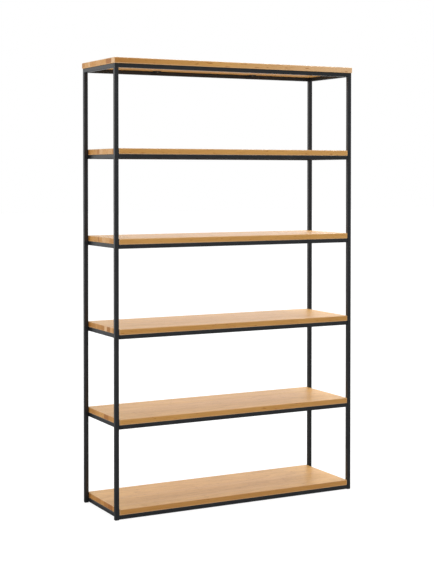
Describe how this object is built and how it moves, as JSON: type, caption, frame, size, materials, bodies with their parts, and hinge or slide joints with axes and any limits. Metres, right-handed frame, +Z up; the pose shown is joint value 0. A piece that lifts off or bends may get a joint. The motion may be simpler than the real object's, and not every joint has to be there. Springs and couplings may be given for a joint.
{
  "type": "bookcase",
  "caption": "Tall open bookcase: slim square-tube frame on four posts, solid wood boards at an even pitch, and shelf units between the posts whose height can be set.",
  "frame": {"origin": "on the floor, under the middle of the bookcase", "axes": "+Z up, +Y from the front to the back, +X to the right seen from the front"},
  "size_m": [1.206, 0.366, 1.975],
  "materials": {
    "frame_coat": "fine-textured anthracite powder coat, semi-matt",
    "oak": "oiled solid oak, glued from staves, satin",
    "zinc_screw": "bright zinc plated",
    "foot_plastic": "moulded black polyethylene",
    "clamp_nylon": "moulded black nylon",
    "cam_steel": "blackened steel"
  },
  "bodies": {
    "carcass": {"post_front_left": "frame_coat", "post_front_right": "frame_coat", "post_rear_left": "frame_coat", "post_rear_right": "frame_coat", "foot_plugs": "foot_plastic", "top_rail_front": "frame_coat", "top_rail_back": "frame_coat", "top_rail_left": "frame_coat", "top_rail_right": "frame_coat", "top_board": "oak", "top_fixing_tabs": "frame_coat", "top_board_screws": "zinc_screw", "base_rail_front": "frame_coat", "base_rail_back": "frame_coat", "base_rail_left": "frame_coat", "base_rail_right": "frame_coat", "base_board": "oak", "base_fixing_tabs": "frame_coat", "base_board_screws": "zinc_screw"},
    "shelf_1": {"shelf_1_rail_front": "frame_coat", "shelf_1_rail_back": "frame_coat", "shelf_1_rail_left": "frame_coat", "shelf_1_rail_right": "frame_coat", "shelf_1_board": "oak", "shelf_1_fixing_tabs": "frame_coat", "shelf_1_board_screws": "zinc_screw", "shelf_1_end_clamps": "clamp_nylon", "shelf_1_clamp_cams": "cam_steel"},
    "shelf_2": {"shelf_2_rail_front": "frame_coat", "shelf_2_rail_back": "frame_coat", "shelf_2_rail_left": "frame_coat", "shelf_2_rail_right": "frame_coat", "shelf_2_board": "oak", "shelf_2_fixing_tabs": "frame_coat", "shelf_2_board_screws": "zinc_screw", "shelf_2_end_clamps": "clamp_nylon", "shelf_2_clamp_cams": "cam_steel"},
    "shelf_3": {"shelf_3_rail_front": "frame_coat", "shelf_3_rail_back": "frame_coat", "shelf_3_rail_left": "frame_coat", "shelf_3_rail_right": "frame_coat", "shelf_3_board": "oak", "shelf_3_fixing_tabs": "frame_coat", "shelf_3_board_screws": "zinc_screw", "shelf_3_end_clamps": "clamp_nylon", "shelf_3_clamp_cams": "cam_steel"},
    "shelf_4": {"shelf_4_rail_front": "frame_coat", "shelf_4_rail_back": "frame_coat", "shelf_4_rail_left": "frame_coat", "shelf_4_rail_right": "frame_coat", "shelf_4_board": "oak", "shelf_4_fixing_tabs": "frame_coat", "shelf_4_board_screws": "zinc_screw", "shelf_4_end_clamps": "clamp_nylon", "shelf_4_clamp_cams": "cam_steel"}
  },
  "joints": [
    {"name": "shelf_1_height", "type": "slide", "parent": "carcass", "child": "shelf_1", "axis": [0, 0, 1], "range_m": [-0.15, 0.15]},
    {"name": "shelf_2_height", "type": "slide", "parent": "carcass", "child": "shelf_2", "axis": [0, 0, 1], "range_m": [-0.15, 0.15]},
    {"name": "shelf_3_height", "type": "slide", "parent": "carcass", "child": "shelf_3", "axis": [0, 0, 1], "range_m": [-0.15, 0.15]},
    {"name": "shelf_4_height", "type": "slide", "parent": "carcass", "child": "shelf_4", "axis": [0, 0, 1], "range_m": [-0.15, 0.15]}
  ]
}
